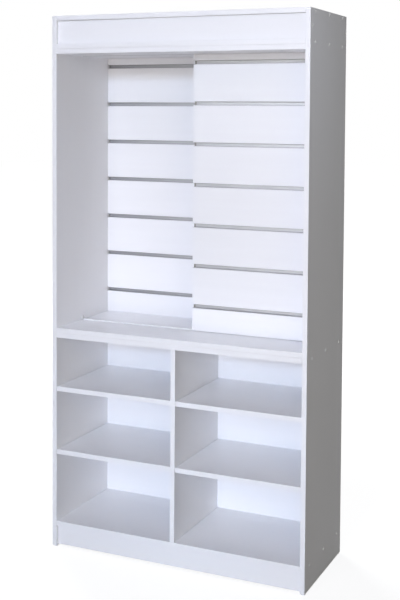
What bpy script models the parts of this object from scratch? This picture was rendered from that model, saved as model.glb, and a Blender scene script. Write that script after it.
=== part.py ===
"""Shop display unit: a tall white board cabinet with a slat wall, a half-width slat panel that
slides along a rail in front of it, and an open two-bay shelf base under a thick counter.

Metres, +Z up, +X to the right, front towards -Y. The origin is on the floor under the middle."""
import bpy
import bmesh
from math import cos, sin, tau
from mathutils import Vector

for old in list(bpy.data.objects):
    bpy.data.objects.remove(old, do_unlink=True)

# Clearances
JOINT_GAP = 0.0003          # between pieces that touch
CUT_OVER = 0.001            # how far a cutter runs past the face it opens
EDGE_CHAMFER = 0.0006       # softened board edges

# Carcass
WIDTH = 1.010
DEPTH = 0.400
HEIGHT = 2.000
BOARD = 0.018               # carcass boards
BACK_BOARD = 0.018          # board behind the shelves
BOTTOM_TOP = 0.100          # top face of the bottom board
COUNTER_TOP = 0.836         # top face of the counter
HEADER_HEIGHT = 0.140       # from the soffit's underside to the top of the unit
FASCIA_RECESS = 0.012
KICK_RECESS = 0.012
KICK_FLOOR_GAP = 0.008

# Feet
GLIDE_RADIUS = 0.008
GLIDE_HEIGHT = 0.004
GLIDE_CHAMFER = 0.001
GLIDE_INSET = 0.012         # from the front and rear edges of a side
GLIDE_NAIL_RADIUS = 0.0015
GLIDE_NAIL_LENGTH = 0.015

# Shelves
LOWER_CLEAR = 0.256         # clear height of the lowest compartments
MIDDLE_CLEAR = 0.222        # clear height of the middle compartments
SHELF_BOARD = 0.018
SHELF_SETBACK = 0.002       # front edge behind the sides' front edges
SHELF_REAR_GAP = 0.001
SHELF_END_GAP = 0.0008
DOWEL_RADIUS = 0.004        # dowels in the shelves' ends
DOWEL_WEB = 0.0034          # board left between two dowel holes back to back in the divider
DOWEL_ROOT = 0.010          # how far it enters the shelf
DOWEL_SETBACK = 0.060       # from the front face and from the back board

# Slat panels
SLAT_BOARD = 0.018
SLAT_PITCH = 0.150
REAR_FIRST_SLOT = 0.0915    # lowest slot's middle above the counter
FRONT_FIRST_SLOT = 0.0935
SLOT_TOP_WEB = 0.004        # least board between the top slot and the guides' pockets
SLOT_THROAT = 0.014
SLOT_LIP = 0.006            # depth of the throat
SLOT_CAVITY = 0.024
SLOT_DEPTH = 0.013
INSERT_WALL = 0.0012
REAR_INSERT_INSET = 0.003
FRONT_INSERT_INSET = 0.008

# Sliding panel and its rail
PANEL_WIDTH = 0.484
PANEL_SETBACK = 0.172       # its front face behind the sides' front edges
PANEL_FLOOR_GAP = 0.0015
PANEL_TOP_GAP = 0.003
RAIL_WIDTH = 0.006
RAIL_HEIGHT = 0.005
RAIL_ROUND = 0.001
RAIL_BUMPER_GAP = 0.0017    # from the rail's end to the bumper's tip
RAIL_CLEARANCE = 0.001      # between the rail and the groove that runs over it
TONGUE_WIDTH = 0.002
TONGUE_DEPTH = 0.008
BUMPER_RADIUS = 0.006
BUMPER_LENGTH = 0.008
BUMPER_ROUND = 0.003        # rounding of its tip's edge
BUMPER_RISE = 0.004         # its middle above the rail's top
STOP_GAP = 0.0005           # between the parked panel and its bumper

# Rollers in the panel's bottom edge
ROLLER_INSET = 0.070        # axle from the panel's edge
WHEEL_TREAD = 0.008         # radius that rolls on the rail
FLANGE_HEIGHT = 0.002       # the two flanges beside the rail stand this far beyond the tread
FLANGE_WIDTH = 0.0012
WHEEL_PLAY = 0.0004         # side play on the rail and in the housing
AXLE_RADIUS = 0.0015
HOUSING_WALL = 0.0012
HOUSING_WEB = 0.002
HOUSING_HEADROOM = 0.0008   # over the flanges
ROLLER_SCREW_SPACE = 0.0032 # between a flange and a screw's head
ROLLER_SCREW_EDGE = 0.006   # from a screw's middle to the housing's end
ROLLER_SCREW_RADIUS = 0.0015
ROLLER_SCREW_LENGTH = 0.014
ROLLER_SCREW_HEAD_RADIUS = 0.0028
ROLLER_SCREW_HEAD_HEIGHT = 0.0018

# Guides in the panel's top edge and the channel above them
GUIDE_INSET = 0.070
GUIDE_LENGTH = 0.040
GUIDE_BASE_WIDTH = 0.010
GUIDE_BASE_DEPTH = 0.010
GUIDE_PLAY = 0.0008         # between a tongue and the channel's walls
GUIDE_HEADROOM = 0.0028     # from a tongue to the channel's web
CHANNEL_WIDTH = 0.012
CHANNEL_HEIGHT = 0.012
CHANNEL_WALL = 0.0012

# Facets of round pieces
SCREW_SEGMENTS = 12
PIN_SEGMENTS = 16
ROUND_SEGMENTS = 32
ROUND_STEPS = 4             # along a rounded edge
SHARP_ANGLE = 0.6           # edges sharper than this stay sharp, in radians

# Planes that several pieces share
OUTER = WIDTH / 2
INNER = OUTER - BOARD                       # inner face of a side
BETWEEN = INNER - JOINT_GAP                 # half the length of a board between the sides
FRONT = -DEPTH / 2
REAR = DEPTH / 2
SIDE_BOTTOM = GLIDE_HEIGHT + JOINT_GAP
SOFFIT = HEIGHT - HEADER_HEIGHT
COUNTER_SEAM = COUNTER_TOP - BOARD
COUNTER_UNDER = COUNTER_SEAM - JOINT_GAP - BOARD
HEADER_SEAM = SOFFIT + BOARD
HEADER_OVER = HEADER_SEAM + JOINT_GAP + BOARD
TOP_UNDER = HEIGHT - BOARD
BACK_FACE = REAR - BACK_BOARD
LOWER_SHELF_UNDER = BOTTOM_TOP + LOWER_CLEAR
UPPER_SHELF_UNDER = LOWER_SHELF_UNDER + SHELF_BOARD + MIDDLE_CLEAR
SHELF_UNDERS = {"lower": LOWER_SHELF_UNDER, "upper": UPPER_SHELF_UNDER}
DOWEL_EMBED = (BOARD - DOWEL_WEB) / 2 - JOINT_GAP      # how far a dowel enters a side or the divider
DOWEL_YS = (FRONT + DOWEL_SETBACK, BACK_FACE - DOWEL_SETBACK)

# Sliding panel parked at the right
PANEL_FRONT = FRONT + PANEL_SETBACK
PANEL_Y = PANEL_FRONT + SLAT_BOARD / 2
PANEL_BOTTOM = COUNTER_TOP + PANEL_FLOOR_GAP
PANEL_TOP = SOFFIT - PANEL_TOP_GAP
PANEL_RIGHT = BETWEEN - BUMPER_LENGTH - STOP_GAP
PANEL_LEFT = PANEL_RIGHT - PANEL_WIDTH
RAIL_BASE = COUNTER_TOP + JOINT_GAP
RAIL_TOP = RAIL_BASE + RAIL_HEIGHT
WHEEL_FLANGE = WHEEL_TREAD + FLANGE_HEIGHT
AXLE_Z = RAIL_TOP + JOINT_GAP + WHEEL_TREAD
WHEEL_WIDTH = RAIL_WIDTH + 2 * WHEEL_PLAY + 2 * FLANGE_WIDTH
HOUSING_INNER = WHEEL_WIDTH + 2 * WHEEL_PLAY
HOUSING_WIDTH = HOUSING_INNER + 2 * HOUSING_WALL
HOUSING_CEILING = AXLE_Z + WHEEL_FLANGE + HOUSING_HEADROOM
HOUSING_TOP = HOUSING_CEILING + HOUSING_WEB
ROLLER_SCREW_OFFSET = WHEEL_FLANGE + ROLLER_SCREW_SPACE + ROLLER_SCREW_HEAD_RADIUS
HOUSING_LENGTH = 2 * (ROLLER_SCREW_OFFSET + ROLLER_SCREW_EDGE)
ROLLER_XS = {"left": PANEL_LEFT + ROLLER_INSET, "right": PANEL_RIGHT - ROLLER_INSET}
GUIDE_XS = {"left": PANEL_LEFT + GUIDE_INSET, "right": PANEL_RIGHT - GUIDE_INSET}

AXES = {"x": Vector((1, 0, 0)), "y": Vector((0, 1, 0)), "z": Vector((0, 0, 1))}


def material(name, colour, roughness, metallic=0.0):
    made = bpy.data.materials.new(name)
    made.use_nodes = True
    shader = made.node_tree.nodes["Principled BSDF"]
    shader.inputs["Base Color"].default_value = (*colour, 1.0)
    shader.inputs["Roughness"].default_value = roughness
    shader.inputs["Metallic"].default_value = metallic
    return made


WHITE_BOARD = material("white_board", (0.84, 0.85, 0.88), 0.42)
WHITE_PLASTIC = material("white_plastic", (0.88, 0.89, 0.91), 0.35)
NYLON = material("nylon", (0.80, 0.79, 0.74), 0.45)
RUBBER = material("clear_rubber", (0.62, 0.63, 0.66), 0.3)
ALUMINIUM = material("aluminium", (0.80, 0.81, 0.83), 0.28, 1.0)
ZINC = material("zinc_steel", (0.62, 0.63, 0.65), 0.35, 1.0)


def empty(name, location):
    made = bpy.data.objects.new(name, None)
    made.location = location
    bpy.context.scene.collection.objects.link(made)
    return made


CABINET = empty("cabinet", (0.0, 0.0, 0.0))
SLIDER = empty("sliding_panel", ((PANEL_LEFT + PANEL_RIGHT) / 2, PANEL_Y, RAIL_TOP))


def link(name, bm, location, look, parent, smooth=False):
    """A node from a bmesh in world coordinates, with its own origin at location."""
    bmesh.ops.recalc_face_normals(bm, faces=bm.faces)
    bmesh.ops.translate(bm, verts=bm.verts, vec=-Vector(location))
    mesh = bpy.data.meshes.new(name)
    bm.to_mesh(mesh)
    bm.free()
    if look:
        mesh.materials.append(look)
    if smooth:
        mesh.shade_smooth()
        mesh.set_sharp_from_angle(angle=SHARP_ANGLE)
    made = bpy.data.objects.new(name, mesh)
    bpy.context.scene.collection.objects.link(made)
    made.parent = parent
    made.location = Vector(location) - (parent.location if parent else Vector())
    return made


def add_box(bm, low, high):
    corners = [bm.verts.new((x, y, z)) for z in (low[2], high[2])
               for y in (low[1], high[1]) for x in (low[0], high[0])]
    for loop in ((0, 1, 3, 2), (4, 6, 7, 5), (0, 4, 5, 1), (2, 3, 7, 6), (0, 2, 6, 4), (1, 5, 7, 3)):
        bm.faces.new([corners[i] for i in loop])


def add_turned(bm, profile, start, direction, segments, bored=False):
    """A turned solid: profile holds (distance along the axis, radius) from one end to the other."""
    turn = Vector((0, 0, 1)).rotation_difference(direction).to_matrix()
    rings = []
    for along, radius in profile:
        angles = [tau * (i + 0.5) / segments for i in range(segments)]
        points = [turn @ Vector((radius * cos(a), radius * sin(a), along)) for a in angles]
        rings.append([bm.verts.new(Vector(start) + point) for point in points])
    pairs = list(zip(rings, rings[1:]))
    if bored:
        pairs.append((rings[-1], rings[0]))
    for first, second in pairs:
        for i in range(segments):
            j = (i + 1) % segments
            bm.faces.new((first[i], first[j], second[j], second[i]))
    if not bored:
        bm.faces.new(rings[0][::-1])
        bm.faces.new(rings[-1])


def add_extruded(bm, outline, x_low, x_high):
    """A solid of constant section along X: outline holds (y, z) corners in order."""
    ends = [[bm.verts.new((x, y, z)) for y, z in outline] for x in (x_low, x_high)]
    for i in range(len(outline)):
        j = (i + 1) % len(outline)
        bm.faces.new((ends[0][i], ends[0][j], ends[1][j], ends[1][i]))
    bm.faces.new(ends[0][::-1])
    bm.faces.new(ends[1])


def middle(low, high):
    return [(a + b) / 2 for a, b in zip(low, high)]


def board(name, low, high, parent=CABINET):
    """A flat board between two corners, with softened edges."""
    bm = bmesh.new()
    add_box(bm, low, high)
    made = link(name, bm, middle(low, high), WHITE_BOARD, parent)
    soften = made.modifiers.new("soft_edges", "BEVEL")
    soften.width = EDGE_CHAMFER
    soften.segments = 1
    return made


def combine(target, label, operation, fill):
    """A Boolean on the target with what fill(bm) adds. One call's solids don't overlap each other."""
    bm = bmesh.new()
    fill(bm)
    helper = link(f"{target.name}_{label}_helper", bm, (0.0, 0.0, 0.0), None, None)
    helper.hide_render = True
    helper.display_type = "WIRE"
    boolean = target.modifiers.new(label, "BOOLEAN")
    boolean.operation = operation
    boolean.solver = "EXACT"
    boolean.object = helper


def cut(target, label, fill):
    combine(target, label, "DIFFERENCE", fill)


def piece(name, look, fill, location, parent=CABINET, smooth=True):
    bm = bmesh.new()
    fill(bm)
    return link(name, bm, location, look, parent, smooth)


# Holes in the uprights
def dowel_holes(bm, face, direction):
    """Blind holes for the shelves' dowels in an upright's face, bored along direction."""
    radius = DOWEL_RADIUS + JOINT_GAP
    profile = [(-CUT_OVER, radius), (DOWEL_EMBED + JOINT_GAP, radius)]
    for under in SHELF_UNDERS.values():
        for y in DOWEL_YS:
            add_turned(bm, profile, (face, y, under + SHELF_BOARD / 2), direction, PIN_SEGMENTS)


def glide_spots(sign):
    x = sign * (OUTER - BOARD / 2)
    return {"front": (x, FRONT + GLIDE_INSET), "rear": (x, REAR - GLIDE_INSET)}


def nail_holes(bm, sign):
    radius = GLIDE_NAIL_RADIUS + JOINT_GAP
    profile = [(-CUT_OVER, radius), (GLIDE_NAIL_LENGTH + JOINT_GAP, radius)]
    for x, y in glide_spots(sign).values():
        add_turned(bm, profile, (x, y, SIDE_BOTTOM), AXES["z"], SCREW_SEGMENTS)


# Sides and the glides nailed under them
for label, sign in (("left", -1), ("right", 1)):
    xs = sorted((sign * INNER, sign * OUTER))
    side = board(f"{label}_side_panel", (xs[0], FRONT, SIDE_BOTTOM), (xs[1], REAR, HEIGHT))
    cut(side, "dowel_holes", lambda bm: dowel_holes(bm, sign * INNER, sign * AXES["x"]))
    cut(side, "nail_holes", lambda bm: nail_holes(bm, sign))
    foot = [(0.0, GLIDE_RADIUS - GLIDE_CHAMFER), (GLIDE_CHAMFER, GLIDE_RADIUS),
            (GLIDE_HEIGHT, GLIDE_RADIUS), (GLIDE_HEIGHT, GLIDE_NAIL_RADIUS),
            (SIDE_BOTTOM + GLIDE_NAIL_LENGTH, GLIDE_NAIL_RADIUS)]
    for end, (x, y) in glide_spots(sign).items():
        piece(f"{label}_{end}_glide", WHITE_PLASTIC,
              lambda bm: add_turned(bm, foot, (x, y, 0.0), AXES["z"], ROUND_SEGMENTS), (x, y, 0.0))

# Header box: top board, fascia, back, and the doubled board under them
board("top_board", (-BETWEEN, FRONT, TOP_UNDER), (BETWEEN, REAR, HEIGHT))
board("header_board", (-BETWEEN, FRONT, HEADER_SEAM + JOINT_GAP), (BETWEEN, REAR, HEADER_OVER))
header_zs = (HEADER_OVER + JOINT_GAP, TOP_UNDER - JOINT_GAP)
fascia_front = FRONT + FASCIA_RECESS
board("header_fascia", (-BETWEEN, fascia_front, header_zs[0]),
      (BETWEEN, fascia_front + BOARD, header_zs[1]))
board("header_back", (-BETWEEN, REAR - BOARD, header_zs[0]), (BETWEEN, REAR, header_zs[1]))
soffit = board("header_soffit", (-BETWEEN, FRONT, SOFFIT), (BETWEEN, REAR, HEADER_SEAM))

# Counter of two boards, bottom board, kickboard, back and divider
board("counter_base", (-BETWEEN, FRONT, COUNTER_UNDER), (BETWEEN, REAR, COUNTER_SEAM - JOINT_GAP))
counter = board("counter_top", (-BETWEEN, FRONT, COUNTER_SEAM), (BETWEEN, REAR, COUNTER_TOP))
board("bottom_board", (-BETWEEN, FRONT, BOTTOM_TOP - BOARD), (BETWEEN, REAR, BOTTOM_TOP))
board("kickboard", (-BETWEEN, FRONT + KICK_RECESS, KICK_FLOOR_GAP),
      (BETWEEN, FRONT + KICK_RECESS + BOARD, BOTTOM_TOP - BOARD - JOINT_GAP))
base_zs = (BOTTOM_TOP + JOINT_GAP, COUNTER_UNDER - JOINT_GAP)
board("lower_back_panel", (-BETWEEN, BACK_FACE, base_zs[0]), (BETWEEN, REAR, base_zs[1]))
divider = board("centre_divider", (-BOARD / 2, FRONT, base_zs[0]),
                (BOARD / 2, BACK_FACE - JOINT_GAP, base_zs[1]))
cut(divider, "left_dowel_holes", lambda bm: dowel_holes(bm, -BOARD / 2, AXES["x"]))
cut(divider, "right_dowel_holes", lambda bm: dowel_holes(bm, BOARD / 2, -AXES["x"]))


# Shelves, each with two dowels in either end
def shelf_dowels(bm, ends, z):
    profile = [(-DOWEL_ROOT, DOWEL_RADIUS), (SHELF_END_GAP + DOWEL_EMBED, DOWEL_RADIUS)]
    for x, direction in zip(ends, (-AXES["x"], AXES["x"])):
        for y in DOWEL_YS:
            add_turned(bm, profile, (x, y, z), direction, PIN_SEGMENTS)


BAYS = {"left": (-INNER, -BOARD / 2), "right": (BOARD / 2, INNER)}
for bay, faces in BAYS.items():
    ends = (faces[0] + SHELF_END_GAP, faces[1] - SHELF_END_GAP)
    for level, under in SHELF_UNDERS.items():
        shelf = board(f"{bay}_{level}_shelf", (ends[0], FRONT + SHELF_SETBACK, under),
                      (ends[1], BACK_FACE - SHELF_REAR_GAP, under + SHELF_BOARD))
        combine(shelf, "dowels", "UNION", lambda bm: shelf_dowels(bm, ends, under + SHELF_BOARD / 2))


# Slat panels: T-shaped slots with aluminium inserts
def slot_zs(first, top):
    margin = SLOT_CAVITY / 2 + SLOT_TOP_WEB + GUIDE_BASE_DEPTH
    count = int((top - margin - COUNTER_TOP - first) / SLAT_PITCH) + 1
    return [COUNTER_TOP + first + SLAT_PITCH * i for i in range(count)]


def slot_outline(face, z):
    throat, cavity = SLOT_THROAT / 2, SLOT_CAVITY / 2
    ys = (face - CUT_OVER, face + SLOT_LIP, face + SLOT_DEPTH)
    return [(ys[0], z - throat), (ys[1], z - throat), (ys[1], z - cavity), (ys[2], z - cavity),
            (ys[2], z + cavity), (ys[1], z + cavity), (ys[1], z + throat), (ys[0], z + throat)]


def insert_outline(face, z):
    """The insert's section: a thin wall that follows the slot, open at the front."""
    def half(inset, sign):
        throat, cavity = SLOT_THROAT / 2 - inset, SLOT_CAVITY / 2 - inset
        ys = (face, face + SLOT_LIP + inset, face + SLOT_DEPTH - inset)
        return [(ys[0], z + sign * throat), (ys[1], z + sign * throat),
                (ys[1], z + sign * cavity), (ys[2], z + sign * cavity)]
    outer, inner = JOINT_GAP, JOINT_GAP + INSERT_WALL
    return half(outer, -1) + half(outer, 1)[::-1] + half(inner, 1) + half(inner, -1)[::-1]


def slat_panel(name, low, high, first, parent):
    made = board(name, low, high, parent)
    zs = slot_zs(first, high[2])

    def slots(bm):
        for z in zs:
            add_extruded(bm, slot_outline(low[1], z), low[0] - CUT_OVER, high[0] + CUT_OVER)

    cut(made, "slots", slots)
    return made, zs


def inserts(label, face, zs, low_x, high_x, inset, parent):
    for number, z in enumerate(zs, 1):
        place = ((low_x + high_x) / 2, face + SLOT_DEPTH / 2, z)
        piece(f"{label}_slat_insert_{number}", ALUMINIUM,
              lambda bm: add_extruded(bm, insert_outline(face, z), low_x + inset, high_x - inset),
              place, parent, smooth=False)


rear_face = REAR - SLAT_BOARD
rear_zs = (COUNTER_TOP + JOINT_GAP, SOFFIT - JOINT_GAP)
rear_slots = slat_panel("rear_slat_panel", (-BETWEEN, rear_face, rear_zs[0]),
                        (BETWEEN, REAR, rear_zs[1]), REAR_FIRST_SLOT, CABINET)[1]
inserts("rear", rear_face, rear_slots, -BETWEEN, BETWEEN, REAR_INSERT_INSET, CABINET)

# Rail pressed into the counter, bumpers at its ends, channel let into the soffit
RAIL_HALF = BETWEEN - BUMPER_LENGTH - RAIL_BUMPER_GAP


def rail_outline():
    half, tongue = RAIL_WIDTH / 2, TONGUE_WIDTH / 2
    right = [(tongue, RAIL_BASE - TONGUE_DEPTH), (tongue, RAIL_BASE), (half, RAIL_BASE),
             (half, RAIL_TOP - RAIL_ROUND), (half - RAIL_ROUND, RAIL_TOP)]
    return [(PANEL_Y + y, z) for y, z in right] + [(PANEL_Y - y, z) for y, z in right[::-1]]


def rail_groove(bm):
    half = TONGUE_WIDTH / 2 + JOINT_GAP
    add_box(bm, (-RAIL_HALF - JOINT_GAP, PANEL_Y - half, COUNTER_TOP - TONGUE_DEPTH),
            (RAIL_HALF + JOINT_GAP, PANEL_Y + half, COUNTER_TOP + CUT_OVER))


def channel_outline():
    half, inner = CHANNEL_WIDTH / 2, CHANNEL_WIDTH / 2 - CHANNEL_WALL
    top = SOFFIT + CHANNEL_HEIGHT
    right = [(half, top), (half, SOFFIT), (inner, SOFFIT), (inner, top - CHANNEL_WALL)]
    return [(PANEL_Y + y, z) for y, z in right] + [(PANEL_Y - y, z) for y, z in right[::-1]]


def channel_groove(bm):
    half = CHANNEL_WIDTH / 2 + JOINT_GAP
    add_box(bm, (-OUTER, PANEL_Y - half, SOFFIT - CUT_OVER),
            (OUTER, PANEL_Y + half, SOFFIT + CHANNEL_HEIGHT + JOINT_GAP))


cut(counter, "rail_groove", rail_groove)
cut(soffit, "channel_groove", channel_groove)
piece("bottom_rail", WHITE_PLASTIC, lambda bm: add_extruded(bm, rail_outline(), -RAIL_HALF, RAIL_HALF),
      (0.0, PANEL_Y, RAIL_BASE), smooth=False)
piece("top_guide_channel", ALUMINIUM, lambda bm: add_extruded(bm, channel_outline(), -BETWEEN, BETWEEN),
      (0.0, PANEL_Y, SOFFIT), smooth=False)


def bumper_profile():
    angles = [tau / 4 * i / ROUND_STEPS for i in range(ROUND_STEPS + 1)]
    shoulder, tip = BUMPER_LENGTH - BUMPER_ROUND, BUMPER_RADIUS - BUMPER_ROUND
    edge = [(shoulder + BUMPER_ROUND * sin(a), tip + BUMPER_ROUND * cos(a)) for a in angles]
    return [(0.0, BUMPER_RADIUS)] + edge


for label, sign in (("left", -1), ("right", 1)):
    seat = (sign * BETWEEN, PANEL_Y, RAIL_TOP + BUMPER_RISE)
    piece(f"{label}_bumper", RUBBER,
          lambda bm: add_turned(bm, bumper_profile(), seat, -sign * AXES["x"], ROUND_SEGMENTS), seat)

# Sliding slat panel, with a groove over the rail and pockets for rollers and guides
front_panel, front_slots = slat_panel("front_slat_panel", (PANEL_LEFT, PANEL_FRONT, PANEL_BOTTOM),
                                      (PANEL_RIGHT, PANEL_FRONT + SLAT_BOARD, PANEL_TOP),
                                      FRONT_FIRST_SLOT, SLIDER)
inserts("front", PANEL_FRONT, front_slots, PANEL_LEFT, PANEL_RIGHT, FRONT_INSERT_INSET, SLIDER)


def panel_groove(bm):
    half = RAIL_WIDTH / 2 + RAIL_CLEARANCE
    add_box(bm, (PANEL_LEFT - CUT_OVER, PANEL_Y - half, PANEL_BOTTOM - CUT_OVER),
            (PANEL_RIGHT + CUT_OVER, PANEL_Y + half, RAIL_TOP + RAIL_CLEARANCE))


def roller_pockets(bm):
    half_x, half_y = HOUSING_LENGTH / 2 + JOINT_GAP, HOUSING_WIDTH / 2 + JOINT_GAP
    for x in ROLLER_XS.values():
        add_box(bm, (x - half_x, PANEL_Y - half_y, PANEL_BOTTOM - CUT_OVER),
                (x + half_x, PANEL_Y + half_y, HOUSING_TOP + JOINT_GAP))


def guide_pockets(bm):
    half_x, half_y = GUIDE_LENGTH / 2 + JOINT_GAP, GUIDE_BASE_WIDTH / 2 + JOINT_GAP
    for x in GUIDE_XS.values():
        add_box(bm, (x - half_x, PANEL_Y - half_y, PANEL_TOP - GUIDE_BASE_DEPTH - JOINT_GAP),
                (x + half_x, PANEL_Y + half_y, PANEL_TOP + CUT_OVER))


def roller_screw_spots():
    return [x + sign * ROLLER_SCREW_OFFSET for x in ROLLER_XS.values() for sign in (-1, 1)]


def roller_screw_holes(bm):
    radius = ROLLER_SCREW_RADIUS + JOINT_GAP
    top = HOUSING_TOP + ROLLER_SCREW_LENGTH + JOINT_GAP
    for x in roller_screw_spots():
        start = (x, PANEL_Y, HOUSING_CEILING - CUT_OVER)
        add_turned(bm, [(0.0, radius), (top - start[2], radius)], start, AXES["z"], SCREW_SEGMENTS)


cut(front_panel, "rail_groove", panel_groove)
cut(front_panel, "roller_pockets", roller_pockets)
cut(front_panel, "guide_pockets", guide_pockets)
cut(front_panel, "roller_screw_holes", roller_screw_holes)


# Rollers: housing, axle pin and flanged wheel on each side, screwed up into the panel
def housing_outline():
    inner, outer = HOUSING_INNER / 2, HOUSING_WIDTH / 2
    right = [(outer, HOUSING_TOP), (outer, PANEL_BOTTOM), (inner, PANEL_BOTTOM), (inner, HOUSING_CEILING)]
    return [(PANEL_Y + y, z) for y, z in right] + [(PANEL_Y - y, z) for y, z in right[::-1]]


def axle_hole(bm, x):
    half = HOUSING_WIDTH / 2 + CUT_OVER
    radius = AXLE_RADIUS + JOINT_GAP
    add_turned(bm, [(-half, radius), (half, radius)], (x, PANEL_Y, AXLE_Z), AXES["y"], PIN_SEGMENTS)


def wheel_profile():
    half, tread = WHEEL_WIDTH / 2, WHEEL_WIDTH / 2 - FLANGE_WIDTH
    bore = AXLE_RADIUS + JOINT_GAP
    return [(-half, bore), (-half, WHEEL_FLANGE), (-tread, WHEEL_FLANGE), (-tread, WHEEL_TREAD),
            (tread, WHEEL_TREAD), (tread, WHEEL_FLANGE), (half, WHEEL_FLANGE), (half, bore)]


for label, x in ROLLER_XS.items():
    axle = (x, PANEL_Y, AXLE_Z)
    ends = (x - HOUSING_LENGTH / 2, x + HOUSING_LENGTH / 2)
    housing = piece(f"{label}_roller_housing", ZINC,
                    lambda bm: add_extruded(bm, housing_outline(), *ends), axle, SLIDER, smooth=False)
    cut(housing, "axle_hole", lambda bm: axle_hole(bm, x))
    cut(housing, "screw_holes", roller_screw_holes)
    half_pin = HOUSING_WIDTH / 2 - JOINT_GAP
    piece(f"{label}_axle_pin", ZINC,
          lambda bm: add_turned(bm, [(-half_pin, AXLE_RADIUS), (half_pin, AXLE_RADIUS)],
                                axle, AXES["y"], PIN_SEGMENTS), axle, SLIDER)
    piece(f"{label}_roller_wheel", NYLON,
          lambda bm: add_turned(bm, wheel_profile(), axle, AXES["y"], ROUND_SEGMENTS, bored=True),
          axle, SLIDER)

SCREW_LOW = HOUSING_CEILING - JOINT_GAP - ROLLER_SCREW_HEAD_HEIGHT
screw = [(0.0, ROLLER_SCREW_HEAD_RADIUS), (ROLLER_SCREW_HEAD_HEIGHT, ROLLER_SCREW_HEAD_RADIUS),
         (ROLLER_SCREW_HEAD_HEIGHT, ROLLER_SCREW_RADIUS),
         (HOUSING_TOP + ROLLER_SCREW_LENGTH - SCREW_LOW, ROLLER_SCREW_RADIUS)]
for number, x in enumerate(roller_screw_spots(), 1):
    place = (x, PANEL_Y, SCREW_LOW)
    piece(f"roller_screw_{number}", ZINC,
          lambda bm: add_turned(bm, screw, place, AXES["z"], SCREW_SEGMENTS), place, SLIDER)


# Guides in the panel's top edge, with tongues that run in the channel
def guide_outline():
    base = GUIDE_BASE_WIDTH / 2
    tongue = CHANNEL_WIDTH / 2 - CHANNEL_WALL - GUIDE_PLAY
    tip = SOFFIT + CHANNEL_HEIGHT - CHANNEL_WALL - GUIDE_HEADROOM
    right = [(base, PANEL_TOP - GUIDE_BASE_DEPTH), (base, PANEL_TOP), (tongue, PANEL_TOP), (tongue, tip)]
    return [(PANEL_Y + y, z) for y, z in right] + [(PANEL_Y - y, z) for y, z in right[::-1]]


for label, x in GUIDE_XS.items():
    piece(f"{label}_top_guide", NYLON,
          lambda bm: add_extruded(bm, guide_outline(), x - GUIDE_LENGTH / 2, x + GUIDE_LENGTH / 2),
          (x, PANEL_Y, PANEL_TOP), SLIDER, smooth=False)
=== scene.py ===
"""Shop display unit: a white board cabinet with a slat wall, a sliding slat panel on a counter rail
and an open shelf base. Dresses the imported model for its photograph. Metres, front towards -Y."""
from math import cos, pi, radians, sin
import bmesh
import bpy
from mathutils import Matrix, Vector


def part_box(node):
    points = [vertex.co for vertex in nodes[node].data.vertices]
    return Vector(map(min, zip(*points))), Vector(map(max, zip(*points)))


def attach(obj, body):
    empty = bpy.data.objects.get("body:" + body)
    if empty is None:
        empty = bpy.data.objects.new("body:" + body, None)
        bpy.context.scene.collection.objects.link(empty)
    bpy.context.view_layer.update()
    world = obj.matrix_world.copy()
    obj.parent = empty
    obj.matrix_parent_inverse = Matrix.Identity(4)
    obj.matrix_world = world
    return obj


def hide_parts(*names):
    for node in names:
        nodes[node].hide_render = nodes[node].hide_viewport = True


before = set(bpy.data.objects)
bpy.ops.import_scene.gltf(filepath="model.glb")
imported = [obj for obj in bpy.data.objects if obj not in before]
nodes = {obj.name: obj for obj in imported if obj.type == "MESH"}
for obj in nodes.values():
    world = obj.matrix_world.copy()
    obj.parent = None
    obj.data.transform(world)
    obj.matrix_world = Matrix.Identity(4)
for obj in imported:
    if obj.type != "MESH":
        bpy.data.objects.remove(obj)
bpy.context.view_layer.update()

# Camera, in pixels of the picture
PICTURE_WIDTH, PICTURE_HEIGHT = 400, 600
LENS_PIXELS = 1065.1
AXIS_PIXEL = (217.7, 163.4)
CAMERA_PLACE = Vector((1.6735, -3.5746, 1.6450))
YAW, PITCH, ROLL = radians(24.01), radians(-2.71), radians(0.39)
SENSOR = 36.0               # millimetres

# Lamps: place, aim, width and height, spread in degrees, power, colour
MIDDLE = (0.0, 0.0, 1.05)
OPEN = 180.0
LAMPS = {
    "far_softbox": (
        (0.85, -16.20, 5.20), MIDDLE, (1.6, 1.6), OPEN, 874.0, (0.62, 0.747, 1.0)),
    "upper_lamp": (
        (-0.75, -4.20, 2.35), (0.0, -0.10, 1.72), (0.8, 0.6), 60.0, 2.40, (0.965, 0.98, 0.985)),
    "low_front_fill": (
        (0.60, -3.00, 0.68), MIDDLE, (1.7, 1.3), OPEN, 25.7, (1.0, 0.915, 0.87)),
    "base_lamp": (
        (0.45, -3.20, 0.55), (0.0, 0.0, 0.20), (0.6, 0.4), 36.0, 0.55, (0.56, 0.76, 1.0)),
    "right_fill": (
        (4.00, -5.00, 2.50), MIDDLE, (3.0, 3.0), OPEN, 56.8, (1.0, 0.897, 0.676)),
    "side_lamp": (
        (1.60, -0.45, 2.60), (0.505, -0.40, 1.70), (0.4, 0.4), 80.0, 0.80, (0.79, 0.85, 1.0)),
    "high_fill": (
        (0.00, -4.00, 5.00), MIDDLE, (3.0, 3.0), OPEN, 51.4, (0.985, 0.93, 1.0)),
    "rear_fill": (
        (-4.20, 4.20, 4.40), MIDDLE, (2.4, 2.4), OPEN, 340.0, (1.0, 0.99, 0.97)),
}
AMBIENT = (0.006, 0.006, 0.006, 1.0)
WHITE = (1.0, 1.0, 1.0, 1.0)

# Floor, which pales with the distance from the unit
FLOOR_RADIUS = 30.0
FLOOR_SIDES = 64
FLOOR_TONE = (0.20, 0.205, 0.215, 1.0)
FADE_START, FADE_END = 0.9, 3.2
NEAR_GLOW, FAR_GLOW = 0.89, 1.0

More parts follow.
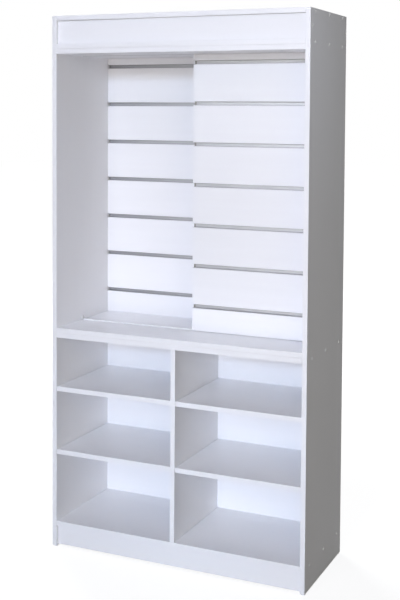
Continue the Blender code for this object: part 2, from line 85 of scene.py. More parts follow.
# Noise in the finishes
NOISE_LOW, NOISE_HIGH = 0.3, 0.7        # nearly all of a noise lies between these
TONE_DETAIL = 4.0
FINE_DETAIL = 3.0
NOISE_ROUGHNESS = 0.55
RELIEF_ROUGHNESS = 0.65
RELIEF_HEIGHT = 0.0004

# Board edges and banding
FRONT_EDGE, REAR_EDGE = (1, -1), (1, 1)         # axis and direction
LOW_EDGE, HIGH_EDGE = (2, -1), (2, 1)
EDGE_ROUND = 0.0008
SEAM_ROUND = 0.0003         # on boards laid on each other, where no seam shows in the photograph
DOUBLED = ("header_board", "counter_top", "counter_base")
BAND = 0.0010               # thickness of the edge banding
SHELF_END_GAP = 0.0008

# Slat slots, as in the part
THROAT = 0.0140
LIP = 0.0060
CAVITY = 0.0240
SLOT_DEPTH = 0.0130
SLOT_COUNT = 7
JOINT_GAP = 0.0003
INSERT_WALL = 0.0012
SLAT_ROUND = 0.0005
FACE_SKIN = 0.0002          # faces nearer to the panel's front or rear than this keep its facing
EDGE_SKIN = 0.0010          # the same for its top and bottom

# Room in the sliding panel and the strip on its top edge
RAIL_CLEARANCE = 0.0010
CUT_MARGIN = 0.0010         # how far a cutter stands out of the panel
STRIP_END_GAP = 0.0010
STRIP_FRONT, STRIP_REAR = 0.0006, 0.0024
STRIP_SEAT_GAP = 0.00005
STRIP_HEAD_GAP = 0.0005
STRIP_ROUND = 0.0002

# Screw caps on the sides
CAP_RADIUS = 0.0060
CAP_SINK = 0.0010
CAP_GAP = 0.00005
CAP_SEAT_GAP = 0.0001
CAP_RIM = ((0.0, 0.0003), (0.00004, 0.00015), (0.00012, 0.00004), (0.00024, 0.0))   # down, inwards
CAP_STEPS = 40
CAP_ROWS = ("top_board", "header_board", "counter_base", "bottom_board")
CAP_ROW_YS = (-0.150, 0.0, 0.150)
CAP_SINGLES = ("header_fascia", "header_back")

# Channel, rail, soft stops and glides
METAL_ROUND = 0.0003
FINE_SEGMENTS = 2           # for roundings too small to need more
CHANNEL_WALL = 0.0012
RAIL_TONGUE = 0.0010        # half the width of the tongue in the counter
RAIL_ROUND = 0.0006
STOP_CORNER = 0.0030
STOP_CORNER_STEPS = 10
STOP_STEPS = 48
GLIDE_HEAD = 0.0040
GLIDE_ROUND = 0.0012
GLIDE_RIM_ANGLES = (pi / 8, pi / 4, 3 * pi / 8, pi / 2)
GLIDE_STEPS = 40
NAIL_RADIUS = 0.0015
NAIL_TIP = 0.0020

# Rollers and guides of the sliding panel
BORE_RADIUS = 0.0018
BORE_REACH = 0.0120
BORE_STEPS = 32
FLANGE_RISE = 0.0020
FLANGE_WIDTH = 0.0012
WHEEL_CHAMFER = 0.0004
WHEEL_STEPS = 64
HOUSING_WALL = 0.0012
HOUSING_WEB = 0.0020
HOUSING_ROUND = 0.0004
GUIDE_TONGUE = 0.0040       # half the width of the tongue in the channel
GUIDE_ROUND = 0.0006
PLATED = ("left_axle_pin", "right_axle_pin",
          "roller_screw_1", "roller_screw_2", "roller_screw_3", "roller_screw_4")

# Limits in the shaping helpers
WELD = 1e-7
LEVEL = 1e-6
CONVEX = 0.3                # angle in radians from which an edge counts as an outer corner
ALONG_X = 0.99
SHARP, WHEEL_SHARP = 0.7, 0.5       # angles in radians from which a shaded edge stays sharp

LEFT_RIGHT = (("left", -1), ("right", 1))
UPWARDS = Vector((0.0, 0.0, 1.0))
REARWARDS = Vector((0.0, 1.0, 0.0))
ORIGIN = Vector((0.0, 0.0, 0.0))


# Camera at the photograph's viewing angle
def set_camera():
    ahead = Vector((-sin(YAW) * cos(PITCH), cos(YAW) * cos(PITCH), sin(PITCH)))
    level = Vector((cos(YAW), sin(YAW), 0.0))
    upward = level.cross(ahead)
    right = cos(ROLL) * level + sin(ROLL) * upward
    up = cos(ROLL) * upward - sin(ROLL) * level
    data = bpy.data.cameras.new("photo_camera")
    data.sensor_fit = "HORIZONTAL"
    data.sensor_width = SENSOR
    data.lens = LENS_PIXELS * SENSOR / PICTURE_WIDTH
    data.shift_x = 0.5 - AXIS_PIXEL[0] / PICTURE_WIDTH
    data.shift_y = (AXIS_PIXEL[1] - PICTURE_HEIGHT / 2) / PICTURE_WIDTH
    camera = bpy.data.objects.new("photo_camera", data)
    turn = Matrix((right, up, -ahead)).transposed().to_4x4()
    camera.matrix_world = Matrix.Translation(CAMERA_PLACE) @ turn
    bpy.context.scene.collection.objects.link(camera)
    bpy.context.scene.camera = camera


# Node helpers for lights and finishes
def add_node(tree, kind, values=None, **links):
    """A node with its constant inputs set and its linked inputs joined up."""
    made = tree.nodes.new(kind)
    for name, value in (values or {}).items():
        made.inputs[name].default_value = value
    for name, source in links.items():
        tree.links.new(source, made.inputs[name])
    return made


def seen_directly(tree):
    """1 where the camera, a reflection or clear plastic looks, and 0 for the light on surfaces."""
    path = tree.nodes.new("ShaderNodeLightPath")
    seen = path.outputs["Is Camera Ray"]
    for name in ("Is Glossy Ray", "Is Transmission Ray"):
        either = tree.nodes.new("ShaderNodeMath")
        either.operation = "MAXIMUM"
        tree.links.new(seen, either.inputs[0])
        tree.links.new(path.outputs[name], either.inputs[1])
        seen = either.outputs[0]
    return seen


def show(tree, lit, seen, output):
    """Puts out one shader for the light on surfaces and another for what is seen directly."""
    mix = add_node(tree, "ShaderNodeMixShader", Fac=seen_directly(tree))
    tree.links.new(lit.outputs[0], mix.inputs[1])
    tree.links.new(seen.outputs[0], mix.inputs[2])
    add_node(tree, output, Surface=mix.outputs[0])


# Soft frontal light, pale surroundings and floor
def set_light():
    for name, (place, aim, (width, height), spread_angle, power, colour) in LAMPS.items():
        lamp = bpy.data.lights.new(name, "AREA")
        lamp.shape = "RECTANGLE"
        lamp.size = width
        lamp.size_y = height
        lamp.spread = radians(spread_angle)
        lamp.energy = power
        lamp.color = colour
        softbox = bpy.data.objects.new(name, lamp)
        turn = (Vector(aim) - Vector(place)).to_track_quat("-Z", "Y").to_matrix().to_4x4()
        softbox.matrix_world = Matrix.Translation(place) @ turn
        softbox.visible_camera = False
        bpy.context.scene.collection.objects.link(softbox)

    world = bpy.data.worlds.new("studio")
    world.use_nodes = True
    bpy.context.scene.world = world
    tree = world.node_tree
    tree.nodes.clear()
    dim = add_node(tree, "ShaderNodeBackground", {"Color": AMBIENT, "Strength": 1.0})
    white = add_node(tree, "ShaderNodeBackground", {"Color": WHITE, "Strength": 1.0})
    show(tree, dim, white, "ShaderNodeOutputWorld")


def set_floor():
    """A pale floor that runs out into the white surroundings and keeps the unit's shadow."""
    look = bpy.data.materials.new("studio_floor")
    look.use_nodes = True
    tree = look.node_tree
    tree.nodes.clear()
    matt = add_node(tree, "ShaderNodeBsdfDiffuse", {"Color": FLOOR_TONE})
    place = tree.nodes.new("ShaderNodeTexCoord")
    away = add_node(tree, "ShaderNodeVectorMath")
    away.operation = "LENGTH"
    tree.links.new(place.outputs["Object"], away.inputs[0])
    fade = {"From Min": FADE_START, "From Max": FADE_END, "To Min": NEAR_GLOW, "To Max": FAR_GLOW}
    paler = add_node(tree, "ShaderNodeMapRange", fade, Value=away.outputs["Value"])
    glow = add_node(tree, "ShaderNodeEmission", {"Color": WHITE}, Strength=paler.outputs["Result"])
    both = add_node(tree, "ShaderNodeAddShader")
    tree.links.new(matt.outputs[0], both.inputs[0])
    tree.links.new(glow.outputs[0], both.inputs[1])
    show(tree, matt, both, "ShaderNodeOutputMaterial")

    bm = bmesh.new()
    bmesh.ops.create_circle(bm, cap_ends=True, radius=FLOOR_RADIUS, segments=FLOOR_SIDES)
    floor = make("studio_floor", bm, [look])


# Finishes
def drawn_noise(tree, stretch, detail, rough=NOISE_ROUGHNESS):
    """Noise on the piece's own coordinates, with stretch cycles a metre along X, Y and Z."""
    place = tree.nodes.new("ShaderNodeTexCoord")
    drawn = add_node(tree, "ShaderNodeMapping", {"Scale": stretch}, Vector=place.outputs["Object"])
    values = {"Scale": 1.0, "Detail": detail, "Roughness": rough}
    noise = add_node(tree, "ShaderNodeTexNoise", values, Vector=drawn.outputs["Vector"])
    return noise.outputs["Fac"]


def toned(tree, source, dark, light):
    """A colour between two, led by a noise."""
    ramp = add_node(tree, "ShaderNodeValToRGB", Fac=source)
    ends = ramp.color_ramp.elements
    ends[0].position, ends[0].color = NOISE_LOW, (*dark, 1.0)
    ends[1].position, ends[1].color = NOISE_HIGH, (*light, 1.0)
    return ramp.outputs["Color"]


def ranged(tree, source, low, high):
    """A value between two, led by a noise."""
    values = {"From Min": NOISE_LOW, "From Max": NOISE_HIGH, "To Min": low, "To Max": high}
    return add_node(tree, "ShaderNodeMapRange", values, Value=source).outputs["Result"]


def finish(name, tone, gloss, relief, depth, metallic=0.0, **constants):
    """A material from two colours, two roughnesses and a relief, each with its noise's cycles."""
    look = bpy.data.materials.new(name)
    look.use_nodes = True
    tree = look.node_tree
    shader = tree.nodes["Principled BSDF"]
    shader.inputs["Metallic"].default_value = metallic
    for socket, value in constants.items():
        shader.inputs[socket.replace("_", " ")].default_value = value
    dark, light, tone_stretch = tone
    tree.links.new(toned(tree, drawn_noise(tree, tone_stretch, TONE_DETAIL), dark, light),
                   shader.inputs["Base Color"])
    low, high, gloss_stretch = gloss
    tree.links.new(ranged(tree, drawn_noise(tree, gloss_stretch, FINE_DETAIL), low, high),
                   shader.inputs["Roughness"])
    bump = add_node(tree, "ShaderNodeBump", {"Strength": depth, "Distance": RELIEF_HEIGHT},
                    Height=drawn_noise(tree, relief, FINE_DETAIL, RELIEF_ROUGHNESS))
    tree.links.new(bump.outputs["Normal"], shader.inputs["Normal"])
    return look


def along(axis, slow, fast):
    """Cycles a metre that run slowly along one axis and fast across it."""
    return tuple(slow if letter == axis else fast for letter in "xyz")


def even(cycles):
    """The same cycles a metre along each axis."""
    return (cycles, cycles, cycles)


def melamine(name, axis, gloss, mirror):
    """White melamine facing with a faint embossed grain along one axis."""
    return finish(
        name, tone=((0.908, 0.915, 0.945), (0.917, 0.924, 0.953), along(axis, 1.6, 55.0)),
        gloss=(*gloss, along(axis, 6.0, 160.0)), relief=along(axis, 14.0, 520.0), depth=0.02,
        Specular_IOR_Level=mirror)


LEVEL_GRAIN = melamine("white_melamine_level_grain", "x", gloss=(0.28, 0.30), mirror=1.0)
FACING_GRAIN = melamine("white_melamine_facing_grain", "x", gloss=(0.40, 0.48), mirror=0.40)
UPRIGHT_GRAIN = melamine("white_melamine_upright_grain", "z", gloss=(0.44, 0.56), mirror=0.36)
EDGING = finish(
    "white_edge_banding", tone=((0.904, 0.911, 0.941), (0.920, 0.927, 0.956), even(9.0)),
    gloss=(0.28, 0.36, even(40.0)), relief=even(260.0), depth=0.06, Specular_IOR_Level=0.45)
SLAT_FACE = finish(
    "white_slat_melamine",
    tone=((0.906, 0.913, 0.943), (0.920, 0.927, 0.958), along("x", 1.2, 38.0)),
    gloss=(0.34, 0.44, along("x", 5.0, 140.0)), relief=along("x", 12.0, 480.0), depth=0.12,
    Specular_IOR_Level=0.45)
# Bare fibreboard core in the slots: its dark neutral tone is partly its own colour, partly painted
# shade at the open slot ends.
SLAT_CORE_AND_SHADE = finish(
    "fibreboard_core_and_painted_shade", tone=((0.20, 0.188, 0.172), (0.27, 0.255, 0.235), even(900.0)),
    gloss=(0.75, 0.90, even(600.0)), relief=even(1400.0), depth=0.35)
# Aluminium darkened well below the bare metal's own tone: painted shade that stands in for the dim
# room its reflections would show.
ALUMINIUM_WITH_PAINTED_SHADE = finish(
    "aluminium_darkened_as_painted_shade",
    tone=((0.36, 0.36, 0.374), (0.45, 0.45, 0.464), along("x", 1.5, 700.0)),
    gloss=(0.42, 0.52, along("x", 3.0, 900.0)), relief=along("x", 2.0, 1500.0), depth=0.10,
    metallic=1.0)
WHITE_PLASTIC = finish(
    "white_moulded_plastic", tone=((0.860, 0.870, 0.892), (0.890, 0.900, 0.920), even(14.0)),
    gloss=(0.26, 0.36, even(120.0)), relief=even(700.0), depth=0.08)
CAP_PLASTIC = finish(
    "glossy_cap_plastic", tone=((0.920, 0.926, 0.945), (0.940, 0.945, 0.960), even(30.0)),
    gloss=(0.14, 0.20, even(200.0)), relief=even(600.0), depth=0.03,
    Specular_IOR_Level=0.6, Coat_Weight=0.40, Coat_Roughness=0.08)
SOFT_STOP = finish(
    "clear_soft_stop", tone=((0.88, 0.89, 0.90), (0.93, 0.935, 0.94), even(60.0)),
    gloss=(0.16, 0.26, even(300.0)), relief=even(900.0), depth=0.05,
    Transmission_Weight=0.12, IOR=1.46)
NYLON = finish(
    "natural_nylon", tone=((0.76, 0.75, 0.69), (0.84, 0.83, 0.78), even(80.0)),
    gloss=(0.38, 0.50, even(300.0)), relief=even(1100.0), depth=0.10)
ZINC = finish(
    "bright_zinc_plate", tone=((0.54, 0.55, 0.58), (0.70, 0.71, 0.73), even(420.0)),
    gloss=(0.24, 0.40, even(260.0)), relief=even(1300.0), depth=0.08, metallic=1.0)


# Shaping helpers
def slab(low, high):
    """A board between two corners."""
    bm = bmesh.new()
    bmesh.ops.create_cube(bm, size=1.0)
    bmesh.ops.scale(bm, vec=high - low, verts=bm.verts)
    bmesh.ops.translate(bm, vec=(low + high) / 2, verts=bm.verts)
    return bm


def drawn_section(outline, low_x, high_x):
    """A length of one section along X: outline holds its (y, z) corners in order."""
    bm = bmesh.new()
    end = bm.faces.new([bm.verts.new((low_x, y, z)) for y, z in outline])
    drawn = bmesh.ops.extrude_face_region(bm, geom=[end])
    far = [item for item in drawn["geom"] if isinstance(item, bmesh.types.BMVert)]
    bmesh.ops.translate(bm, verts=far, vec=(high_x - low_x, 0.0, 0.0))
    bmesh.ops.recalc_face_normals(bm, faces=bm.faces)
    return bm


def turned(profile, place, direction, steps):
    """A turned piece: profile holds (distance along the axis, radius) and closes on the axis or
    on itself."""
    bm = bmesh.new()
    ring = [bm.verts.new((radius, 0.0, height)) for height, radius in profile]
    edges = [bm.edges.new(pair) for pair in zip(ring, ring[1:])]
    bmesh.ops.spin(bm, geom=ring + edges, cent=ORIGIN, axis=UPWARDS, dvec=ORIGIN, angle=2 * pi,
                   steps=steps, use_merge=True, use_duplicate=False)
    bmesh.ops.remove_doubles(bm, verts=bm.verts, dist=WELD)
    turn = UPWARDS.rotation_difference(direction).to_matrix()
    bmesh.ops.rotate(bm, verts=bm.verts, cent=ORIGIN, matrix=turn)
    bmesh.ops.translate(bm, verts=bm.verts, vec=place)
    bmesh.ops.recalc_face_normals(bm, faces=bm.faces)
    return bm


def across(low, high):
    """The middle and the half width of a box along Y."""
    return (low.y + high.y) / 2, (high.y - low.y) / 2


def mirrored(half, middle):
    """A closed outline from one half of it, which holds (distance from the middle, z)."""
    return [(middle + y, z) for y, z in half] + [(middle - y, z) for y, z in reversed(half)]


def open_channel(low, high, wall, web):
    """The outline of a channel that is open below."""
    middle, half = across(low, high)
    inner = half - wall
    return mirrored([(half, high.z), (half, low.z), (inner, low.z), (inner, high.z - web)], middle)


def stepped_bar(low, high, lower_half, upper_half, step):
    """The outline of a bar whose width changes at one height."""
    middle, _ = across(low, high)
    return mirrored([(lower_half, low.z), (lower_half, step), (upper_half, step),
                     (upper_half, high.z)], middle)


def round_bar(reach, radius):
    """The profile of a plain round bar that reaches equally far both ways."""
    return [(-reach, 0.0), (-reach, radius), (reach, radius), (reach, 0.0)]


def rounded(bm, edges, radius, segments=3):
    """Rounds these edges, and shades only the roundings smooth, so that flat faces stay flat."""
    made = bmesh.ops.bevel(bm, geom=edges, offset=radius, offset_type="OFFSET", segments=segments,
                           profile=0.5, affect="EDGES", material=-1, clamp_overlap=True)
    for face in made["faces"]:
        face.smooth = True


def outward(bm):
    """The edges at outer corners."""
    return [edge for edge in bm.edges
            if edge.is_manifold and edge.calc_face_angle_signed() > CONVEX]


def lengthwise(edges):
    """Those of the edges that run along X."""
    return [edge for edge in edges
            if abs((edge.verts[0].co - edge.verts[1].co).normalized().x) > ALONG_X]


def banded(bm, sides):
    """Gives the narrow faces at these sides a banding of their own, with its seam just behind
    the edge."""
    for axis, sign in sides:
        reach = max(sign * vert.co[axis] for vert in bm.verts)
        seam, normal = ORIGIN.copy(), ORIGIN.copy()
        seam[axis] = sign * (reach - BAND)
        normal[axis] = sign
        bmesh.ops.bisect_plane(bm, geom=bm.verts[:] + bm.edges[:] + bm.faces[:],
                               plane_co=seam, plane_no=normal)
        for face in bm.faces:
            if sign * face.calc_center_median()[axis] > reach - BAND:
                face.material_index = 1


def joined(*parts):
    """Several shapes as one bmesh."""
    whole = bmesh.new()
    for part in parts:
        loose = bpy.data.meshes.new("loose")
        part.to_mesh(loose)
        part.free()
        whole.from_mesh(loose)
        bpy.data.meshes.remove(loose)
    return whole


def make(name, bm, looks):
    """An object in the scene from a shape and its finishes."""
    mesh = bpy.data.meshes.new(name)
    bm.to_mesh(mesh)
    bm.free()
    for look in looks:
        mesh.materials.append(look)
    made = bpy.data.objects.new(name, mesh)
    bpy.context.scene.collection.objects.link(made)
    return made


def carved(piece, cutter):
    """Cuts a shape out of a piece for good."""
    tool = make("cutter", cutter, [])
    boolean = piece.modifiers.new("cut", "BOOLEAN")
    boolean.operation = "DIFFERENCE"
    boolean.solver = "EXACT"
    boolean.object = tool
    whole = piece.data
    ready = piece.evaluated_get(bpy.context.evaluated_depsgraph_get())
    piece.data = bpy.data.meshes.new_from_object(ready)
    piece.modifiers.clear()
    piece.data.name = whole.name
    bpy.data.meshes.remove(whole)
    tool_mesh = tool.data
    bpy.data.objects.remove(tool)
    bpy.data.meshes.remove(tool_mesh)


def shaded_round(piece, sharp=SHARP):
    """Shades a piece smooth between its sharp edges."""
    piece.data.shade_smooth()
    piece.data.set_sharp_from_angle(angle=sharp)


def settle(piece, body, slot, *stands_for):
    """Puts a piece on its body and in the place of its nodes; its slot is not used."""
    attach(piece, body)
    if stands_for:
        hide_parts(*stands_for)


# Boards and shelves
BOARDS = {
    "top_board": (LEVEL_GRAIN, (FRONT_EDGE, REAR_EDGE)),
    "header_fascia": (FACING_GRAIN, ()),
    "header_back": (FACING_GRAIN, ()),
    "header_board": (LEVEL_GRAIN, (FRONT_EDGE, REAR_EDGE)),
    "counter_top": (LEVEL_GRAIN, (FRONT_EDGE, REAR_EDGE)),
    "counter_base": (LEVEL_GRAIN, (FRONT_EDGE, REAR_EDGE)),
    "bottom_board": (LEVEL_GRAIN, (FRONT_EDGE, REAR_EDGE)),
    "kickboard": (FACING_GRAIN, (LOW_EDGE,)),
    "lower_back_panel": (FACING_GRAIN, ()),
    "centre_divider": (UPRIGHT_GRAIN, (FRONT_EDGE,)),
}


def edged_board(node, look, sides, ends=None):
    """A board with rounded edges and banded sides, between other ends along X if they are given."""
    low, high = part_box(node)
    if ends:
        low.x, high.x = ends
    bm = slab(low, high)
    rounded(bm, bm.edges[:], SEAM_ROUND if node in DOUBLED else EDGE_ROUND)
    banded(bm, sides)
    return make(f"finished_{node}", bm, [look, EDGING])


def add_boards():
    for node, (look, sides) in BOARDS.items():
        settle(edged_board(node, look, sides), "cabinet", "white_board", node)


def add_shelves():
    """Shelves between the sides and the divider, without the dowels that their ends hide."""
    divider_low, divider_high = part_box("centre_divider")
    bays = {"left": (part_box("left_side_panel")[1].x, divider_low.x),
            "right": (divider_high.x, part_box("right_side_panel")[0].x)}
    for bay, (start, end) in bays.items():
        ends = (start + SHELF_END_GAP, end - SHELF_END_GAP)
        for level in ("lower", "upper"):
            node = f"{bay}_{level}_shelf"
            shelf = edged_board(node, LEVEL_GRAIN, (FRONT_EDGE,), ends)
            settle(shelf, "cabinet", "white_board", node)


# Sides, with screw caps let into their outer faces
def cap_spots():
    """The middles of the caps on a side, as (y, z)."""
    for node in CAP_ROWS:
        low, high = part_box(node)
        for y in CAP_ROW_YS:
            yield y, (low.z + high.z) / 2
    for node in CAP_SINGLES:
        low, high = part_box(node)
        yield (low.y + high.y) / 2, (low.z + high.z) / 2


def cap_profile():
    """From the middle of the face, over a soft rim and down to the seat."""
    rim = [(-down, CAP_RADIUS - inwards) for down, inwards in CAP_RIM]
    seat = -CAP_SINK + CAP_SEAT_GAP
    return [(0.0, 0.0)] + rim + [(seat, CAP_RADIUS), (seat, 0.0)]


def at_caps(profile, face, outwards):
    """One turned shape at each cap's place."""
    return joined(*[turned(profile, (face, y, z), outwards, CAP_STEPS) for y, z in cap_spots()])


def add_sides():
    for label, sign in LEFT_RIGHT:
        node = f"{label}_side_panel"
        low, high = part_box(node)
        face = high.x if sign > 0 else low.x
        outwards = Vector((sign, 0.0, 0.0))
        side = edged_board(node, UPRIGHT_GRAIN, (FRONT_EDGE, REAR_EDGE, HIGH_EDGE))
        carved(side, at_caps(round_bar(CAP_SINK, CAP_RADIUS + CAP_GAP), face, outwards))
        settle(side, "cabinet", "white_board", node)
        caps = make(f"{label}_screw_caps", at_caps(cap_profile(), face, outwards), [CAP_PLASTIC])
        shaded_round(caps)
        settle(caps, "cabinet", "white_plastic")


# Header soffit with the guide channel let into it
def groove_board(node, groove_y, half, depth):
    """A board with one groove along X in its underside."""
    low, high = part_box(node)
    outline = [(low.y, low.z), (groove_y - half, low.z), (groove_y - half, low.z + depth),
               (groove_y + half, low.z + depth), (groove_y + half, low.z), (high.y, low.z),
               (high.y, high.z), (low.y, high.z)]
    bm = drawn_section(outline, low.x, high.x)
    rounded(bm, lengthwise(outward(bm)), SEAM_ROUND)
    banded(bm, (FRONT_EDGE, REAR_EDGE))
    return make(f"finished_{node}", bm, [LEVEL_GRAIN, EDGING])


def add_soffit_and_channel():
    low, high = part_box("top_guide_channel")
    middle, half = across(low, high)
    soffit = groove_board("header_soffit", middle, half + JOINT_GAP, high.z - low.z + JOINT_GAP)
    settle(soffit, "cabinet", "white_board", "header_soffit")
    bm = drawn_section(open_channel(low, high, CHANNEL_WALL, CHANNEL_WALL), low.x, high.x)
    rounded(bm, lengthwise(outward(bm)), METAL_ROUND, FINE_SEGMENTS)
    settle(make("guide_channel", bm, [ALUMINIUM_WITH_PAINTED_SHADE]), "cabinet", "aluminium", "top_guide_channel")


# Slat panels and their inserts
def slot_middles(label):
    """The heights of a panel's slots."""
    zs = []
    for number in range(1, SLOT_COUNT + 1):
        low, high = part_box(f"{label}_slat_insert_{number}")
        zs.append((low.z + high.z) / 2)
    return zs


def slotted_outline(low, high, zs):
    """The section of a slat panel, from its rear bottom corner round its face."""
    face, lip, floor = low.y, low.y + LIP, low.y + SLOT_DEPTH
    outline = [(high.y, low.z), (face, low.z)]
    for z in zs:
        throat_low, throat_high = z - THROAT / 2, z + THROAT / 2
        cavity_low, cavity_high = z - CAVITY / 2, z + CAVITY / 2
        outline += [(face, throat_low), (lip, throat_low), (lip, cavity_low), (floor, cavity_low),
                    (floor, cavity_high), (lip, cavity_high), (lip, throat_high),
                    (face, throat_high)]
    return outline + [(face, high.z), (high.y, high.z)]


def slat_board(label):
    """A slat panel with its facing, its banded ends and the bare core in its slots, dark partly as
    painted shade.
    """
    low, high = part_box(f"{label}_slat_panel")
    bm = drawn_section(slotted_outline(low, high, slot_middles(label)), low.x, high.x)
    for face in bm.faces:
        middle = face.calc_center_median()
        if (low.y + FACE_SKIN < middle.y < high.y - FACE_SKIN
                and low.z + EDGE_SKIN < middle.z < high.z - EDGE_SKIN):
            face.material_index = 2 if abs(face.normal.x) < 0.5 else 1
    rounded(bm, lengthwise(outward(bm)), SLAT_ROUND)
    return make(f"finished_{label}_slat_panel", bm, [SLAT_FACE, EDGING, SLAT_CORE_AND_SHADE])


def insert_outline(face, z):
    """The section of a slot's insert: its outer faces up and its inner faces down again."""
    def half(inset, sign):
        throat, cavity = THROAT / 2 - inset, CAVITY / 2 - inset
        lip, floor = face + LIP + inset, face + SLOT_DEPTH - inset
        return [(face, z + sign * throat), (lip, z + sign * throat),
                (lip, z + sign * cavity), (floor, z + sign * cavity)]
    outer, inner = JOINT_GAP, JOINT_GAP + INSERT_WALL
    return half(outer, -1) + half(outer, 1)[::-1] + half(inner, 1) + half(inner, -1)[::-1]


def make_room(panel):
    """Cuts the groove over the rail and the pockets for the housings and the top guides."""
    low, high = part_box("front_slat_panel")
    guide_y, _ = across(*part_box("top_guide_channel"))
    rail_low, rail_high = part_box("bottom_rail")
    half = (rail_high.y - rail_low.y) / 2 + RAIL_CLEARANCE
    carved(panel, slab(
        Vector((low.x - CUT_MARGIN, guide_y - half, low.z - CUT_MARGIN)),
        Vector((high.x + CUT_MARGIN, guide_y + half, rail_high.z + RAIL_CLEARANCE))))
    gap = Vector((JOINT_GAP, JOINT_GAP, JOINT_GAP))
    for hand, _ in LEFT_RIGHT:
        start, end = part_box(f"{hand}_roller_housing")
        start.z = low.z - CUT_MARGIN
        carved(panel, slab(start - gap, end + gap))
        start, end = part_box(f"{hand}_top_guide")
        end.z = high.z + CUT_MARGIN
        carved(panel, slab(start - gap, end + gap))


def add_slat_panels():
    for label, body in (("rear", "cabinet"), ("front", "sliding_panel")):
        panel_node = f"{label}_slat_panel"
        panel = slat_board(label)
        if label == "front":
            make_room(panel)
        settle(panel, body, "white_slat_board", panel_node)
        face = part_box(panel_node)[0].y
        for number, z in enumerate(slot_middles(label), 1):
            node = f"{label}_slat_insert_{number}"
            low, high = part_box(node)
            bm = drawn_section(insert_outline(face, z), low.x, high.x)
            rounded(bm, lengthwise(outward(bm)), METAL_ROUND, FINE_SEGMENTS)
            insert = make(f"{label}_insert_{number}", bm, [ALUMINIUM_WITH_PAINTED_SHADE])
            settle(insert, body, "aluminium", node)


def add_top_strip():
    """A thin strip on the sliding panel's top edge, up to the soffit."""
    low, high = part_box("front_slat_panel")
    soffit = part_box("header_soffit")[0].z
    strip = slab(Vector((low.x + STRIP_END_GAP, low.y + STRIP_FRONT, high.z + STRIP_SEAT_GAP)),
                 Vector((high.x - STRIP_END_GAP, low.y + STRIP_REAR, soffit - STRIP_HEAD_GAP)))
    rounded(strip, strip.edges[:], STRIP_ROUND, FINE_SEGMENTS)
    settle(make("panel_top_strip", strip, [WHITE_PLASTIC]), "sliding_panel", "white_plastic")


# Rail, soft stops and glides
def add_rail():
    low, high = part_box("bottom_rail")
    _, half = across(low, high)
    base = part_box("counter_top")[1].z + JOINT_GAP
    bm = drawn_section(stepped_bar(low, high, RAIL_TONGUE, half, base), low.x, high.x)
    top = [edge for edge in lengthwise(outward(bm)) if edge.verts[0].co.z > high.z - LEVEL]
    rounded(bm, top, RAIL_ROUND)
    settle(make("counter_rail", bm, [WHITE_PLASTIC]), "cabinet", "white_plastic", "bottom_rail")


def stop_profile(length, radius):
    """A round peg along its axis, from its flat seat to its soft tip."""
    angles = [pi / 2 * i / STOP_CORNER_STEPS for i in range(STOP_CORNER_STEPS + 1)]
    edge = [(length - STOP_CORNER + STOP_CORNER * sin(a),
             radius - STOP_CORNER + STOP_CORNER * cos(a)) for a in angles]
    return [(0.0, 0.0), (0.0, radius)] + edge + [(length, 0.0)]


def add_stop(label, sign):
    low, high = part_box(f"{label}_bumper")
    seat = Vector((high.x if sign > 0 else low.x, (low.y + high.y) / 2, (low.z + high.z) / 2))
    profile = stop_profile(high.x - low.x, (high.z - low.z) / 2)
    bm = turned(profile, seat, Vector((-sign, 0.0, 0.0)), STOP_STEPS)
    stop = make(f"{label}_soft_stop", bm, [SOFT_STOP])
    shaded_round(stop)
    settle(stop, "cabinet", "clear_rubber", f"{label}_bumper")


def glide_profile(radius, top):
    """From the middle of the foot, over a soft rim and up the nail to its tip."""
    inner = radius - GLIDE_ROUND
    rim = [(GLIDE_ROUND - GLIDE_ROUND * cos(a), inner + GLIDE_ROUND * sin(a))
           for a in GLIDE_RIM_ANGLES]
    nail = [(GLIDE_HEAD, NAIL_RADIUS), (top - NAIL_TIP, NAIL_RADIUS), (top, 0.0)]
    return [(0.0, 0.0), (0.0, inner)] + rim + [(GLIDE_HEAD, radius)] + nail


def add_glide(place):
    node = f"{place}_glide"
    low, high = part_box(node)
    middle = ((low.x + high.x) / 2, (low.y + high.y) / 2, 0.0)
    profile = glide_profile((high.x - low.x) / 2, high.z)
    bm = turned(profile, middle, UPWARDS, GLIDE_STEPS)
    glide = make(f"{place}_nail_glide", bm, [WHITE_PLASTIC])
    shaded_round(glide)
    settle(glide, "cabinet", "white_plastic", node)


def add_stops_and_glides():
    for label, sign in LEFT_RIGHT:
        add_stop(label, sign)
        for end in ("front", "rear"):
            add_glide(f"{label}_{end}")


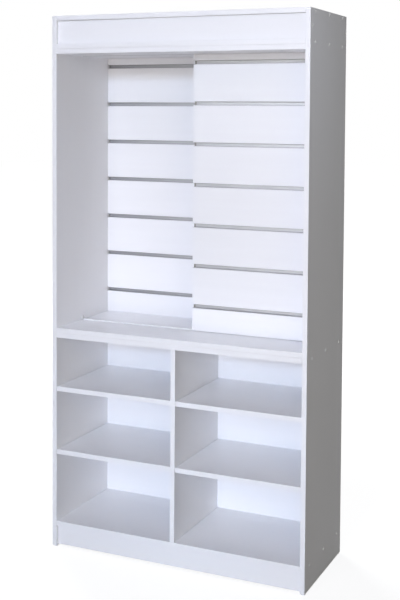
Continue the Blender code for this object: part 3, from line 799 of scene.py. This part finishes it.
# Rollers and guides of the sliding panel
def wheel_profile(low, high):
    """Round the wheel's section: bore, flange, tread, flange and bore again."""
    half, flange = (high.y - low.y) / 2, (high.z - low.z) / 2
    tread, side = flange - FLANGE_RISE, half - FLANGE_WIDTH
    corner, edge = flange - WHEEL_CHAMFER, half - WHEEL_CHAMFER
    return [(-half, BORE_RADIUS), (-half, corner), (-edge, flange), (-side, flange),
            (-side, tread), (side, tread), (side, flange), (edge, flange), (half, corner),
            (half, BORE_RADIUS), (-half, BORE_RADIUS)]


def add_wheel(hand):
    node = f"{hand}_roller_wheel"
    low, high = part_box(node)
    bm = turned(wheel_profile(low, high), (low + high) / 2, REARWARDS, WHEEL_STEPS)
    wheel = make(f"{hand}_flanged_wheel", bm, [NYLON])
    shaded_round(wheel, WHEEL_SHARP)
    settle(wheel, f"{hand}_roller", "nylon", node)


def add_housing(hand):
    node = f"{hand}_roller_housing"
    low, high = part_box(node)
    bm = drawn_section(open_channel(low, high, HOUSING_WALL, HOUSING_WEB), low.x, high.x)
    rounded(bm, lengthwise(outward(bm)), HOUSING_ROUND)
    housing = make(f"{hand}_wheel_housing", bm, [ZINC])
    pin_low, pin_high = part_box(f"{hand}_axle_pin")
    bore = round_bar(BORE_REACH, BORE_RADIUS)
    carved(housing, turned(bore, (pin_low + pin_high) / 2, REARWARDS, BORE_STEPS))
    settle(housing, "sliding_panel", "zinc_steel", node)


def add_guide(hand):
    node = f"{hand}_top_guide"
    low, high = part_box(node)
    _, half = across(low, high)
    panel_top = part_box("front_slat_panel")[1].z
    bm = drawn_section(stepped_bar(low, high, half, GUIDE_TONGUE, panel_top), low.x, high.x)
    rounded(bm, outward(bm), GUIDE_ROUND)
    settle(make(f"{hand}_guide_tongue", bm, [NYLON]), "sliding_panel", "nylon", node)


def add_running_gear():
    for hand, _ in LEFT_RIGHT:
        add_wheel(hand)
        add_housing(hand)
        add_guide(hand)
    for node in PLATED:
        nodes[node].material_slots[0].material = ZINC


add_boards()
add_shelves()
add_sides()
add_soffit_and_channel()
add_slat_panels()
add_top_strip()
add_rail()
add_stops_and_glides()
add_running_gear()
set_camera()
set_light()
set_floor()
bpy.context.scene.view_settings.view_transform = "Standard"
